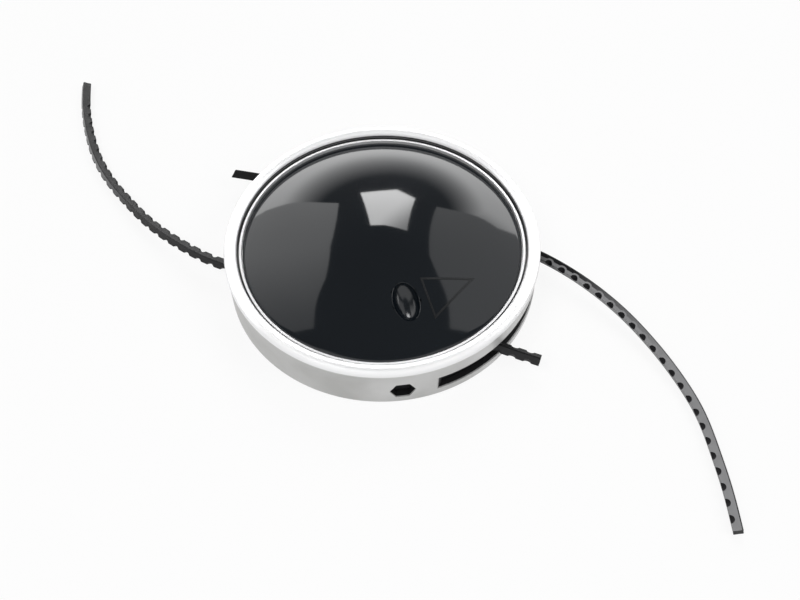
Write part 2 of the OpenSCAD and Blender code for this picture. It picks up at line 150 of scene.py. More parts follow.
LEFT_ROUTE = route([
    (55.5, -45, 7.6), (48, -42.3, 7.7), (40, -38.8, 7.8), (30, -34.8, 7.8), (10, -27.6, 7.8),
    (-7.6, -21.3, 7.8), (-26, -14.7, 7.8), (-44, -8.3, 7.8), (-52.5, -5.6, 7.8), (-59.5, -3.3, 7.8),
    (-66.5, -0.1, 7.6), (-73, 4.3, 7.1), (-79.5, 9.1, 6.4), (-85.5, 13.8, 5.7), (-91.5, 19.5, 4.9),
    (-97.5, 26, 4), (-103, 33, 3.2), (-108.8, 39.7, 2.6), (-114.3, 47.7, 2.3), (-119.9, 57.3, 2.2),
    (-124.5, 69, 2.2), (-127.5, 78, 2.2), (-130, 87.5, 2.2), (-132, 100.5, 2.2),
])
RIGHT_ROUTE = route([
    (-59.5, 42.8, 7.7), (-51, 41, 7.8), (-42.5, 39, 7.8), (-30, 34.8, 7.8), (-10, 27.6, 7.8),
    (7.6, 21.3, 7.8), (26, 14.7, 7.8), (42, 9, 7.8), (52, 5, 7.8), (60, 0.7, 7.8),
    (67, -4.3, 7.6), (74, -9.6, 7), (81, -16, 6.2), (88, -23.3, 5.2), (93.8, -31.1, 4.3),
    (100.8, -41.9, 3.1), (104.6, -49.5, 2.5), (108.5, -58.5, 2.2), (110.9, -68.5, 2.2),
    (112, -78.5, 2.2), (113.2, -87, 2.2), (113.8, -96, 2.2), (114, -105.5, 2.2),
])


def only(piece):
    """Selects one object and makes it active."""
    if bpy.context.object and bpy.context.object.mode != "OBJECT":
        bpy.ops.object.mode_set(mode="OBJECT")
    bpy.ops.object.select_all(action="DESELECT")
    piece.select_set(True)
    bpy.context.view_layer.objects.active = piece


def smooth(piece, degrees):
    """Smooth shading that keeps edges sharper than an angle."""
    only(piece)
    bpy.ops.object.shade_smooth_by_angle(angle=math.radians(degrees))


# Camera
camera_data = bpy.data.cameras.new("camera")
camera = bpy.data.objects.new("camera", camera_data)
bpy.context.scene.collection.objects.link(camera)
camera.location = CAMERA_AT
camera.rotation_euler = (math.pi / 2 - CAMERA_ELEVATION, 0, 0)
camera_data.lens = CAMERA_LENS
camera_data.clip_start = CAMERA_NEAR
camera_data.clip_end = CAMERA_FAR
bpy.context.scene.camera = camera


# Cutting lines
def along_route(points, step):
    """A smooth curve through the points, as (place, distance along it)."""
    fine = [points[0].copy()]
    for i in range(len(points) - 1):
        a = points[max(i - 1, 0)]
        b, c = points[i], points[i + 1]
        d = points[min(i + 2, len(points) - 1)]
        count = max(2, round((c - b).length / step))
        for k in range(1, count + 1):
            t = k / count
            fine.append(0.5 * (2 * b + (c - a) * t + (2 * a - 5 * b + 4 * c - d) * t * t
                               + (3 * b - a - 3 * c + d) * t ** 3))
    for _ in range(SMOOTHING):
        fine[1:-1] = [(p + 2 * q + r) / 4 for p, q, r in zip(fine, fine[1:], fine[2:])]
    run = [0.0]
    for p, q in zip(fine, fine[1:]):
        run.append(run[-1] + (q - p).length)
    return fine, run


def place_at(fine, run, s):
    """The point and direction at a distance along a curve."""
    s = min(max(s, 0.0), run[-1])
    low, high = 0, len(run) - 1
    while high - low > 1:
        mid = (low + high) // 2
        if run[mid] <= s:
            low = mid
        else:
            high = mid
    t = (s - run[low]) / (run[high] - run[low])
    before, after = max(low - 1, 0), min(high + 1, len(fine) - 1)
    return fine[low].lerp(fine[high], t), (fine[after] - fine[before]).normalized()


def notch_stations(length, first, last):
    """Distances along a line with the notch depth at each: half-round notches, up to the last."""
    marks = [(0.0, 0.0)]
    for n in range(int((last - first) / NOTCH_PITCH), -1, -1):
        middle = last - n * NOTCH_PITCH
        for k in range(NOTCH_STEPS + 1):
            a = math.pi * (k / NOTCH_STEPS - 0.5)
            marks.append((middle + NOTCH_R * math.sin(a), NOTCH_DEPTH * math.cos(a)))
    marks.append((length, 0.0))
    stations = [marks[0]]
    for here, depth in marks[1:]:
        before = stations[-1][0]
        spans = max(1, round((here - before) / (NOTCH_PITCH / PLAIN_STEPS)))
        stations += [(before + (here - before) * k / spans, 0.0) for k in range(1, spans)]
        stations.append((here, depth))
    return stations


def section(depth):
    """One ring of a line's section, from a serrated corner on round: its four faces dip a little."""
    corner = LINE_FLAT / math.sqrt(2)
    cut = max(depth, CORNER_ROUND)
    flank = CORNER_ROUND * CORNER_FLANK
    dip = FACE_DIP / math.sqrt(2)
    middle = ((corner - cut + flank) / 2 - dip, (cut + corner - flank) / 2 - dip)
    half = [
        (corner - cut, -cut), (corner - cut, cut), middle, (flank, corner - flank),
        (0, corner - CORNER_ROUND * CORNER_TIP), (-flank, corner - flank), (-middle[0], middle[1]),
    ]
    return half + [(-x, -y) for x, y in half]


# The sides of that ring: the two serrated corners, the outer face and the upper face's two halves
SERRATED = (0, 7)
OUTER_SIDES = (0, 1, 2)
UPPER_HIGH, UPPER_LOW = 12, 13


def ease(value, low, high):
    """0 below low and 1 above high, with a straight way between."""
    return min(max((value - low) / (high - low), 0.0), 1.0)


def cutting_line(name, points, turns, first_notch, last_gap, skew, painted_sheen):
    """A notched, twisted square line along a route. The function it is given sets how much painted sheen,
    grey standing in for reflected light, each side gets at a distance.
    """
    fine, run = along_route(points, ROUTE_STEP)
    length = run[-1]
    mesh = bmesh.new()
    cut_face = mesh.faces.layers.float.new("notch")
    # Each face stores its share of painted sheen, a grey that stands in for reflected light
    sheen_face = mesh.faces.layers.float.new("painted_sheen")
    rings = []
    stations = notch_stations(length, first_notch, length - last_gap)
    for s, depth in stations:
        point, direction = place_at(fine, run, s)
        side = UP.cross(direction).normalized()
        over = direction.cross(side)
        held = ease(s, TWIST_FROM, TWIST_TO)
        free = ease(s, TWIST_TO, length)
        angle = math.radians(turns[0] + (turns[1] - turns[0]) * held + (turns[2] - turns[1]) * free)
        lean = skew * max(0.0, 1 - s / LEAN_LENGTH)
        ring = []
        for x, y in section(depth):
            across = x * math.cos(angle) - y * math.sin(angle)
            up = x * math.sin(angle) + y * math.cos(angle)
            ring.append(mesh.verts.new(point + side * across + over * up + direction * across * lean))
        rings.append(ring)
    for i in range(len(rings) - 1):
        middle = (stations[i][0] + stations[i + 1][0]) / 2
        deepest = max(stations[i][1], stations[i + 1][1])
        for j in range(len(rings[i])):
            k = (j + 1) % len(rings[i])
            face = mesh.faces.new((rings[i][j], rings[i][k], rings[i + 1][k], rings[i + 1][j]))
            face[cut_face] = 1.0 if j in SERRATED and deepest > CUT_SHOWS else 0.0
            face[sheen_face] = painted_sheen(j, middle)
    mesh.faces.new(list(reversed(rings[0])))
    mesh.faces.new(rings[-1])
    bmesh.ops.recalc_face_normals(mesh, faces=mesh.faces)
    data = bpy.data.meshes.new(name)
    mesh.to_mesh(data)
    mesh.free()
    piece = bpy.data.objects.new(name, data)
    bpy.context.scene.collection.objects.link(piece)
    smooth(piece, LINE_SHARP)
    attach(piece, "head")
    path = fine[::PATH_STRIDE]
    if path[-1] != fine[-1]:
        path.append(fine[-1])
    return piece


def left_painted_sheen(side, s):
    """Painted sheen on the left line: a grey reflection is painted on past the head, and more of it on its
    outer teeth towards the tip.
    """
    if side in OUTER_SIDES:
        return LEFT_FAINT + LEFT_TEETH * ease(s, *LEFT_TEETH_TURN)
    return LEFT_FAINT * ease(s, *LEFT_SIDES_TURN)


def right_painted_sheen(side, s):
    """Painted sheen on the right line: past the head a painted grey reflection turns it from black to
    grey, apart from its upper plain corner.
    """
    if side in OUTER_SIDES:
        return RIGHT_TEETH * ease(s, *RIGHT_TEETH_TURN)
    if side == UPPER_LOW:
        return ease(s, *RIGHT_LOW_TURN)
    if side == UPPER_HIGH:
        return ease(s, *RIGHT_HIGH_TURN)
    return RIGHT_FAINT * ease(s, *RIGHT_SIDES_TURN)


left_line = cutting_line("cutting_line_left", LEFT_ROUTE, LEFT_TURNS, first_notch=4 * MM,
                         last_gap=15 * MM, skew=0.0, painted_sheen=left_painted_sheen)
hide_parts("line_left")
right_line = cutting_line("cutting_line_right", RIGHT_ROUTE, RIGHT_TURNS, first_notch=26 * MM,
                          last_gap=4 * MM, skew=0.5, painted_sheen=right_painted_sheen)
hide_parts("line_right")


# Cover
def dome_height(r):
    """Height of the dome's outside at a radius."""
    z = EDGE_LOW + EDGE_THICK + DOME_RISE * (1 - (r / COVER_R) ** 2)
    if r < HUMP_R:
        z += HUMP_RISE * (1 - (r / HUMP_R) ** 2) ** HUMP_FOOT
    return z


def turned(name, stations, steps):
    """Turns a closed piece about the spindle axis: a ring of corners, drawn out station by station."""
    first_r, first_z = stations[0]
    bpy.ops.object.select_all(action="DESELECT")
    bpy.ops.mesh.primitive_circle_add(vertices=steps, radius=first_r, location=(0, 0, first_z))
    piece = bpy.context.object
    piece.name = name
    piece.data.name = name
    bpy.ops.object.transform_apply(location=True, rotation=True, scale=True)
    bpy.ops.object.mode_set(mode="EDIT")
    bpy.ops.mesh.select_all(action="SELECT")
    bpy.ops.mesh.edge_face_add()
    bpy.ops.mesh.select_all(action="SELECT")
    r = first_r
    z = first_z
    for next_r, next_z in stations[1:]:
        bpy.ops.mesh.extrude_region_move(TRANSFORM_OT_translate={"value": (0, 0, next_z - z)})
        bpy.ops.transform.resize(value=(next_r / r, next_r / r, 1))
        r = next_r
        z = next_z
    bpy.ops.mesh.select_all(action="SELECT")
    bpy.ops.mesh.normals_make_consistent(inside=False)
    bpy.ops.object.mode_set(mode="OBJECT")
    return piece


def cover_stations():
    """The cover's profile from the middle of its inside, round the foot and the edge, to the crown."""
    foot_r = SKIRT_R - FOOT_WIDTH
    inside_radii = [foot_r * i / INSIDE_STEPS for i in range(1, INSIDE_STEPS + 1)]
    inside = [(r, dome_height(r) - DOME_WALL) for r in inside_radii]
    inside[0] = (INSIDE_END_R, inside[0][1])
    foot = [(foot_r, LOCK_TOP), (SKIRT_R, LOCK_TOP), (SKIRT_R, EDGE_LOW), (COVER_R - EDGE_ROUND, EDGE_LOW)]
    edge = [(COVER_R, EDGE_LOW + EDGE_ROUND), (COVER_R, EDGE_LOW + EDGE_THICK - EDGE_ROUND)]
    top_radii = [COVER_R * (1 - i / OUTSIDE_STEPS) for i in range(OUTSIDE_STEPS)]
    top = [(r, dome_height(r)) for r in top_radii]
    top[0] = (COVER_R - EDGE_ROUND * EDGE_EASE, dome_height(COVER_R))
    return inside + foot + edge + top + [(CROWN_END_R, dome_height(0))]


cover = turned("cover_shell", cover_stations(), COVER_TURNS)


def soften_recess(piece, middle):
    """Rounds the sharp edge where the recess meets the dome."""
    only(piece)
    bpy.ops.object.mode_set(mode="EDIT")
    bpy.ops.mesh.select_mode(type="EDGE")
    bpy.ops.mesh.select_all(action="DESELECT")
    mesh = bmesh.from_edit_mesh(piece.data)
    for edge in mesh.edges:
        near = all((end.co - middle).length < RECESS_HALF.x * RECESS_REACH for end in edge.verts)
        on_top = all(end.co.z > dome_height(end.co.xy.length) - RECESS_SINK for end in edge.verts)
        if near and on_top and len(edge.link_faces) == 2 and edge.calc_face_angle() > RECESS_CREASE:
            edge.select = True
    bmesh.update_edit_mesh(piece.data)
    bpy.ops.mesh.bevel(offset=RECESS_ROUND, segments=ROUND_SEGMENTS, affect="EDGES")
    bpy.ops.object.mode_set(mode="OBJECT")


def combine(piece, tool, operation):
    """Joins a tool to a piece, or cuts it out, and drops the tool."""
    only(tool)
    bpy.ops.object.transform_apply(location=True, rotation=True, scale=True)
    bpy.ops.object.mode_set(mode="EDIT")
    bpy.ops.mesh.select_all(action="SELECT")
    bpy.ops.mesh.normals_make_consistent(inside=False)
    bpy.ops.object.mode_set(mode="OBJECT")
    only(piece)
    step = piece.modifiers.new("recess", "BOOLEAN")
    step.operation = operation
    step.solver = "EXACT"
    step.object = tool
    bpy.ops.object.modifier_apply(modifier=step.name)
    bpy.data.objects.remove(tool)


def cut_recess(piece):
    """Sinks the finger recess, an oval bowl along the dome's slope, over a boss that keeps its wall."""
    away = Vector((math.cos(RECESS_ANGLE), math.sin(RECESS_ANGLE), 0))
    half = RECESS_HALF.x
    drop = dome_height(RECESS_AT - half) - dome_height(RECESS_AT + half)
    along = (away * 2 * half - UP * drop).normalized()
    across = UP.cross(away).normalized()
    out = along.cross(across).normalized()
    turn = Matrix((along, across, out)).transposed().to_4x4()
    surface = away * RECESS_AT + UP * dome_height(RECESS_AT)
    bpy.ops.object.select_all(action="DESELECT")
    bpy.ops.mesh.primitive_cylinder_add(vertices=BOSS_SIDES, radius=1, depth=1)
    boss = bpy.context.object
    boss_size = (RECESS_HALF.x + BOSS_WALL, RECESS_HALF.y + BOSS_WALL, BOSS_BOTTOM - BOSS_TOP)
    boss_middle = surface - out * (BOSS_TOP + BOSS_BOTTOM) / 2
    boss.matrix_world = Matrix.Translation(boss_middle) @ turn @ Matrix.Diagonal((*boss_size, 1))
    combine(piece, boss, "UNION")
    bpy.ops.object.select_all(action="DESELECT")
    bpy.ops.mesh.primitive_uv_sphere_add(segments=BOWL_SEGMENTS, ring_count=BOWL_SEGMENTS // 2, radius=1)
    bowl = bpy.context.object
    bowl_middle = surface + out * RECESS_LIFT
    bowl.matrix_world = Matrix.Translation(bowl_middle) @ turn @ Matrix.Diagonal((*RECESS_HALF, 1))
    combine(piece, bowl, "DIFFERENCE")
    soften_recess(piece, bowl_middle)


cut_recess(cover)
smooth(cover, COVER_SHARP)
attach(cover, "turn_cover")
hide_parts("cover")


def cover_sign():
    """The lock sign: the raised outline of a triangle that follows the dome."""
    bpy.ops.object.select_all(action="DESELECT")
    bpy.ops.mesh.primitive_circle_add(vertices=3, radius=1, fill_type="NGON")
    piece = bpy.context.object
    piece.name = "cover_arrow"
    piece.data.name = "cover_arrow"
    for corner, (x, y) in zip(piece.data.vertices, SIGN_CORNERS):
        corner.co = (x, y, 0)
    bpy.ops.object.mode_set(mode="EDIT")
    bpy.ops.mesh.select_all(action="SELECT")
    bpy.ops.mesh.normals_make_consistent(inside=False)
    bpy.ops.mesh.inset(thickness=SIGN_STROKE)
    bpy.ops.mesh.delete(type="FACE")
    bpy.ops.mesh.select_all(action="SELECT")
    bpy.ops.mesh.subdivide(number_cuts=SIGN_CUTS)
    bpy.ops.object.mode_set(mode="OBJECT")
    for point in piece.data.vertices:
        point.co.z = dome_height(point.co.xy.length) - SIGN_SUNK
    wall = piece.modifiers.new("stroke", "SOLIDIFY")
    wall.thickness = SIGN_HEIGHT + SIGN_SUNK
    wall.offset = 1 if piece.data.polygons[0].normal.z > 0 else -1
    bpy.ops.object.modifier_apply(modifier=wall.name)
    bpy.ops.object.mode_set(mode="EDIT")
    bpy.ops.mesh.select_all(action="SELECT")
    bpy.ops.mesh.normals_make_consistent(inside=False)
    bpy.ops.object.mode_set(mode="OBJECT")
    smooth(piece, COVER_SHARP)
    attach(piece, "turn_cover")
    return piece


sign = cover_sign()


# Where the cup's and the seat ring's finishes change, and where painted shade darkens the groove and the
# openings, by radius and by height
GROOVE_IN = 52.6 * MM
GROOVE_OUT = 53.4 * MM
CROWN_LOW = 17.3 * MM
CROWN_FADE = 0.8 * MM
OPENING_R = 57.3 * MM
OPENING_LOW = 2 * MM
SHARP_FADE = 0.1 * MM

# Places on the mottle at which a finish has its darker and its paler colour
METAL_SPREAD = (0.35, 0.65)
WALL_SPREAD = (0.36, 0.6)
SOFT_SPREAD = (0.3, 0.7)

# Colours that fade into each other, darker and paler
WALL_TONES = ((0.44, 0.44, 0.43), (0.6, 0.6, 0.595))
LIP_TONES = ((0.84, 0.84, 0.85), (0.92, 0.92, 0.93))
COVER_TONES = ((0.0025, 0.0045, 0.007), (0.004, 0.0065, 0.0095))
NYLON_SHADES = ((0.86, 0.86, 0.86), (1, 1, 1))
CROWN_BRIGHT = (0.92, 0.92, 0.925)
# Painted shade: inside the cup's openings, and on the rim's side of the groove
OPENING_PAINTED_SHADE = (0.02, 0.02, 0.021)
RIM_GROOVE_PAINTED_SHADE = (0.05, 0.05, 0.052)
# Painted shade on the lip's side of the groove
LIP_GROOVE_PAINTED_SHADE = (0.06, 0.06, 0.062)
LINE_BLACK = (0.005, 0.005, 0.0055)
# Painted sheen on the lines: a grey that stands in for reflected light
LINE_SHEEN_GREY = (0.27, 0.27, 0.275)
NOTCH_BLACK = (0.004, 0.004, 0.005)

# The bowl of the recess is left duller than the dome, from its rim inwards
BOWL_ROUGHNESS = 0.13
BOWL_RIM = 1.0
BOWL_DULL = 0.9


def material(name):
    """A new node material, with its nodes, its links and its shader."""
    made = bpy.data.materials.new(name)
    made.use_nodes = True
    return made, made.node_tree.nodes, made.node_tree.links, made.node_tree.nodes["Principled BSDF"]


def group(name, inputs, outputs):
    """An empty shader group with its sockets."""
    made = bpy.data.node_groups.new(name, "ShaderNodeTree")
    for label, kind, value in inputs:
        socket = made.interface.new_socket(name=label, in_out="INPUT", socket_type=kind)
        socket.default_value = value
    for label, kind in outputs:
        made.interface.new_socket(name=label, in_out="OUTPUT", socket_type=kind)
    return made, made.nodes.new("NodeGroupInput"), made.nodes.new("NodeGroupOutput")


FLOAT = "NodeSocketFloat"


def mottle_group():
    """Two sizes of soft unevenness, for colour and for roughness, and a fine grain for bump."""
    made, take, give = group(
        "mottle",
        [("Patch Scale", FLOAT, 60.0), ("Grain Scale", FLOAT, 1500.0),
         ("Low", FLOAT, 0.0), ("High", FLOAT, 1.0)],
        [("Patch", FLOAT), ("Grain", FLOAT), ("Value", FLOAT)],
    )
    add = made.nodes.new
    link = made.links.new
    where = add("ShaderNodeTexCoord")
    patch = add("ShaderNodeTexNoise")
    patch.inputs["Detail"].default_value = 5
    grain = add("ShaderNodeTexNoise")
    grain.inputs["Detail"].default_value = 3
    spread = add("ShaderNodeMapRange")
    spread.inputs["From Min"].default_value = 0.3
    spread.inputs["From Max"].default_value = 0.7
    link(where.outputs["Object"], patch.inputs["Vector"])
    link(where.outputs["Object"], grain.inputs["Vector"])
    link(take.outputs["Patch Scale"], patch.inputs["Scale"])
    link(take.outputs["Grain Scale"], grain.inputs["Scale"])
    link(patch.outputs["Fac"], spread.inputs["Value"])
    link(take.outputs["Low"], spread.inputs["To Min"])
    link(take.outputs["High"], spread.inputs["To Max"])
    link(patch.outputs["Fac"], give.inputs["Patch"])
    link(grain.outputs["Fac"], give.inputs["Grain"])
    link(spread.outputs["Result"], give.inputs["Value"])
    return made


def turned_marks_group():
    """Fine rings that a polishing wheel leaves about the spindle axis, with the radius and the height."""
    made, take, give = group("turned_marks", [("Ring Scale", FLOAT, 4000.0)],
                             [("Marks", FLOAT), ("Radius", FLOAT), ("Height", FLOAT)])
    add = made.nodes.new
    link = made.links.new
    where = add("ShaderNodeTexCoord")
    parts = add("ShaderNodeSeparateXYZ")
    flat = add("ShaderNodeCombineXYZ")
    radius = add("ShaderNodeVectorMath")
    radius.operation = "LENGTH"
    place = add("ShaderNodeCombineXYZ")
    noise = add("ShaderNodeTexNoise")
    noise.inputs["Detail"].default_value = 4
    link(where.outputs["Object"], parts.inputs["Vector"])
    link(parts.outputs["X"], flat.inputs["X"])
    link(parts.outputs["Y"], flat.inputs["Y"])
    link(flat.outputs["Vector"], radius.inputs[0])
    link(radius.outputs["Value"], place.inputs["X"])
    link(parts.outputs["Z"], place.inputs["Z"])
    link(place.outputs["Vector"], noise.inputs["Vector"])
    link(take.outputs["Ring Scale"], noise.inputs["Scale"])
    link(noise.outputs["Fac"], give.inputs["Marks"])
    link(radius.outputs["Value"], give.inputs["Radius"])
    link(parts.outputs["Z"], give.inputs["Height"])
    return made


MOTTLE = mottle_group()
TURNED = turned_marks_group()


def use(nodes, made, **values):
    """Places a group in a material with its own values."""
    node = nodes.new("ShaderNodeGroup")
    node.node_tree = made
    for label, value in values.items():
        node.inputs[label.replace("_", " ")].default_value = value
    return node


def ramp(nodes, links, source, spread, tones):
    """A colour ramp on a value, from a darker to a paler tone over a spread of values."""
    node = nodes.new("ShaderNodeValToRGB")
    links.new(source, node.inputs["Fac"])
    for element, place, colour in zip(node.color_ramp.elements, spread, tones):
        element.position = place
        element.color = (*colour, 1)
    return node.outputs["Color"]


def bump(nodes, links, shader, height, distance, strength):
    """Fine relief that follows a height."""
    node = nodes.new("ShaderNodeBump")
    node.inputs["Distance"].default_value = distance
    node.inputs["Strength"].default_value = strength
    links.new(height, node.inputs["Height"])
    links.new(node.outputs["Normal"], shader.inputs["Normal"])


def metal(name, dark, pale, rough, marks_depth, patch_scale=45.0):
    """A turned or rolled metal: patches in its colour and roughness, and turning marks."""
    made, nodes, links, shader = material(name)
    shader.inputs["Metallic"].default_value = 1
    patches = use(nodes, MOTTLE, Patch_Scale=patch_scale, Low=rough[0], High=rough[1])
    colour = ramp(nodes, links, patches.outputs["Patch"], METAL_SPREAD, (dark, pale))
    links.new(colour, shader.inputs["Base Color"])
    links.new(patches.outputs["Value"], shader.inputs["Roughness"])
    marks = use(nodes, TURNED)
    bump(nodes, links, shader, marks.outputs["Marks"], distance=marks_depth, strength=0.4)
    return made


def band(nodes, links, source, low, high):
    """1 where a value is past high and 0 where it is short of low."""
    node = nodes.new("ShaderNodeMapRange")
    node.interpolation_type = "SMOOTHSTEP"
    node.inputs["From Min"].default_value = low
    node.inputs["From Max"].default_value = high
    links.new(source, node.inputs["Value"])
    return node.outputs["Result"]


def mix_colour(nodes, links, share, first, second):
    """Blends a colour output or a plain colour towards another by a share."""
    node = nodes.new("ShaderNodeMix")
    node.data_type = "RGBA"
    links.new(share, node.inputs["Factor"])
    for label, colour in (("A", first), ("B", second)):
        if isinstance(colour, tuple):
            node.inputs[label].default_value = (*colour, 1)
        else:
            links.new(colour, node.inputs[label])
    return node.outputs["Result"]


def multiply(nodes, links, first, second):
    """The product of two masks."""
    node = nodes.new("ShaderNodeMath")
    node.operation = "MULTIPLY"
    links.new(first, node.inputs[0])
    links.new(second, node.inputs[1])
    return node.outputs["Value"]


def cup_metal():
    """The cup: satin bright on the rim, blotched on the wall, with painted shade in the groove and in the
    openings.
    """
    made, nodes, links, shader = material("cup_aluminium")
    shader.inputs["Metallic"].default_value = 0.45
    spot = use(nodes, TURNED, Ring_Scale=2500.0)
    radius = spot.outputs["Radius"]
    height = spot.outputs["Height"]
    on_rim = band(nodes, links, height, CROWN_LOW, CROWN_LOW + CROWN_FADE)
    # Painted shade: the rim's inner side at the groove is darkened
    inner = band(nodes, links, radius, GROOVE_OUT + SHARP_FADE / 2, GROOVE_OUT - SHARP_FADE / 2)
    rim_groove_shade = multiply(nodes, links, on_rim, inner)
    patches = use(nodes, MOTTLE, Patch_Scale=28.0, Low=0.38, High=0.5)
    wall = ramp(nodes, links, patches.outputs["Patch"], WALL_SPREAD, WALL_TONES)
    # Painted shade: inside the openings the cup is darkened
    within = band(nodes, links, radius, OPENING_R - SHARP_FADE / 2, OPENING_R - SHARP_FADE * 1.5)
    above = band(nodes, links, height, OPENING_LOW - SHARP_FADE, OPENING_LOW)
    opening_shade = multiply(nodes, links, within, above)
    shaded = mix_colour(nodes, links, opening_shade, wall, OPENING_PAINTED_SHADE)
    bare = mix_colour(nodes, links, on_rim, shaded, CROWN_BRIGHT)
    colour = mix_colour(nodes, links, rim_groove_shade, bare, RIM_GROOVE_PAINTED_SHADE)
    links.new(colour, shader.inputs["Base Color"])
    links.new(patches.outputs["Value"], shader.inputs["Roughness"])
    bump(nodes, links, shader, spot.outputs["Marks"], distance=0.002 * MM, strength=0.3)
    return made


def lip_metal():
    """The seat ring: a bright lip with painted shade in the groove outside it."""
    made, nodes, links, shader = material("lip_aluminium")
    shader.inputs["Metallic"].default_value = 0.2
    spot = use(nodes, TURNED)
    radius = spot.outputs["Radius"]
    # Painted shade: outside its lip, in the groove, the ring is darkened
    outer = band(nodes, links, radius, GROOVE_IN - SHARP_FADE / 2, GROOVE_IN + SHARP_FADE / 2)
    patches = use(nodes, MOTTLE, Patch_Scale=40.0, Low=0.25, High=0.35)
    bright = ramp(nodes, links, patches.outputs["Patch"], METAL_SPREAD, LIP_TONES)
    colour = mix_colour(nodes, links, outer, bright, LIP_GROOVE_PAINTED_SHADE)
    links.new(colour, shader.inputs["Base Color"])
    links.new(patches.outputs["Value"], shader.inputs["Roughness"])
    bump(nodes, links, shader, spot.outputs["Marks"], distance=0.002 * MM, strength=0.3)
    return made


def moulding(name, dark, pale, rough, grain_depth):
    """A moulded plastic with a fine grain."""
    made, nodes, links, shader = material(name)
    shader.inputs["Specular IOR Level"].default_value = 0.25
    patches = use(nodes, MOTTLE, Patch_Scale=90.0, Grain_Scale=2600.0, Low=rough[0], High=rough[1])
    colour = ramp(nodes, links, patches.outputs["Patch"], SOFT_SPREAD, (dark, pale))
    links.new(colour, shader.inputs["Base Color"])
    links.new(patches.outputs["Value"], shader.inputs["Roughness"])
    bump(nodes, links, shader, patches.outputs["Grain"], distance=grain_depth, strength=0.5)
    return made


def line_nylon():
    """Extruded black nylon, with grey painted along its sides that stands in for reflected studio light.
    The cut faces of the notches stay darker, because the painted sheen leaves them black.
    """
    made, nodes, links, shader = material("line_nylon")
    shader.inputs["Specular IOR Level"].default_value = 0.15
    patches = use(nodes, MOTTLE, Patch_Scale=160.0, Grain_Scale=3000.0, Low=0.42, High=0.58)
    # Painted sheen: each face's stored share blends the black towards a grey that stands in for reflected
    # light
    painted_sheen_share = nodes.new("ShaderNodeAttribute")
    painted_sheen_share.attribute_name = "painted_sheen"
    body = mix_colour(nodes, links, painted_sheen_share.outputs["Fac"], LINE_BLACK, LINE_SHEEN_GREY)
    cut = nodes.new("ShaderNodeAttribute")
    cut.attribute_name = "notch"
    sides = mix_colour(nodes, links, cut.outputs["Fac"], body, NOTCH_BLACK)
    uneven = ramp(nodes, links, patches.outputs["Patch"], SOFT_SPREAD, NYLON_SHADES)
    tone = nodes.new("ShaderNodeMix")
    tone.data_type = "RGBA"
    tone.blend_type = "MULTIPLY"
    tone.inputs["Factor"].default_value = 1
    links.new(sides, tone.inputs["A"])
    links.new(uneven, tone.inputs["B"])
    links.new(tone.outputs["Result"], shader.inputs["Base Color"])
    links.new(patches.outputs["Value"], shader.inputs["Roughness"])
    bump(nodes, links, shader, patches.outputs["Grain"], distance=0.01 * MM, strength=0.3)
    return made


def cover_gloss():
    """High-gloss black with the faintest haze in patches, duller in the bowl of the recess."""
    made, nodes, links, shader = material("cover_gloss")
    patches = use(nodes, MOTTLE, Patch_Scale=22.0, Grain_Scale=700.0, Low=0.035, High=0.075)
    colour = ramp(nodes, links, patches.outputs["Patch"], SOFT_SPREAD, COVER_TONES)
    links.new(colour, shader.inputs["Base Color"])
    # Distance from the bowl's middle, where 1 is its rim
    where = nodes.new("ShaderNodeTexCoord")
    in_bowl = nodes.new("ShaderNodeMapping")
    in_bowl.vector_type = "TEXTURE"
    in_bowl.inputs["Location"].default_value[0] = RECESS_AT * math.cos(RECESS_ANGLE)
    in_bowl.inputs["Location"].default_value[1] = RECESS_AT * math.sin(RECESS_ANGLE)
    in_bowl.inputs["Rotation"].default_value[2] = RECESS_ANGLE
    in_bowl.inputs["Scale"].default_value = (RECESS_HALF.x, RECESS_HALF.y, 1)
    links.new(where.outputs["Object"], in_bowl.inputs["Vector"])
    reach = nodes.new("ShaderNodeVectorMath")
    reach.operation = "LENGTH"
    links.new(in_bowl.outputs["Vector"], reach.inputs[0])
    worn = nodes.new("ShaderNodeMath")
    worn.operation = "MULTIPLY_ADD"
    worn.inputs[1].default_value = BOWL_ROUGHNESS
    links.new(band(nodes, links, reach.outputs["Value"], BOWL_RIM, BOWL_DULL), worn.inputs[0])
    links.new(patches.outputs["Value"], worn.inputs[2])
    links.new(worn.outputs["Value"], shader.inputs["Roughness"])
    shader.inputs["IOR"].default_value = 1.5
    bump(nodes, links, shader, patches.outputs["Patch"], distance=0.03 * MM, strength=0.25)
    return made


STEEL = metal("plated_steel", (0.50, 0.51, 0.53), (0.62, 0.63, 0.65),
              rough=(0.25, 0.4), marks_depth=0.01 * MM)
SPRING_STEEL = metal("spring_steel", (0.55, 0.56, 0.58), (0.66, 0.67, 0.69),
                     rough=(0.2, 0.32), marks_depth=0.005 * MM)
OXIDE = metal("black_oxide", (0.06, 0.06, 0.065), (0.1, 0.1, 0.105),
              rough=(0.35, 0.5), marks_depth=0.01 * MM, patch_scale=300.0)
BRASS = metal("insert_brass", (0.66, 0.47, 0.2), (0.78, 0.6, 0.28),
              rough=(0.25, 0.35), marks_depth=0.01 * MM)
NYLON = moulding("carrier_nylon", (0.005, 0.005, 0.006), (0.01, 0.01, 0.011),
                 rough=(0.5, 0.65), grain_depth=0.04 * MM)
SIGN_BLACK = moulding("sign_black", (0.012, 0.013, 0.014), (0.018, 0.019, 0.02),
                      rough=(0.2, 0.3), grain_depth=0.002 * MM)
NODE_FINISH = {
    "housing": cup_metal(),
    "seat_ring": lip_metal(),
    "arbor_plate": STEEL,
    "base_screws": OXIDE,
    "screw_inserts": BRASS,
    "line_carrier": NYLON,
    "line_shoe_left": NYLON,
    "line_shoe_right": NYLON,
    "lock_ring": NYLON,
}


def finish_with(piece, made):
    """Gives a piece one material."""
    piece.data.materials.clear()
    piece.data.materials.append(made)


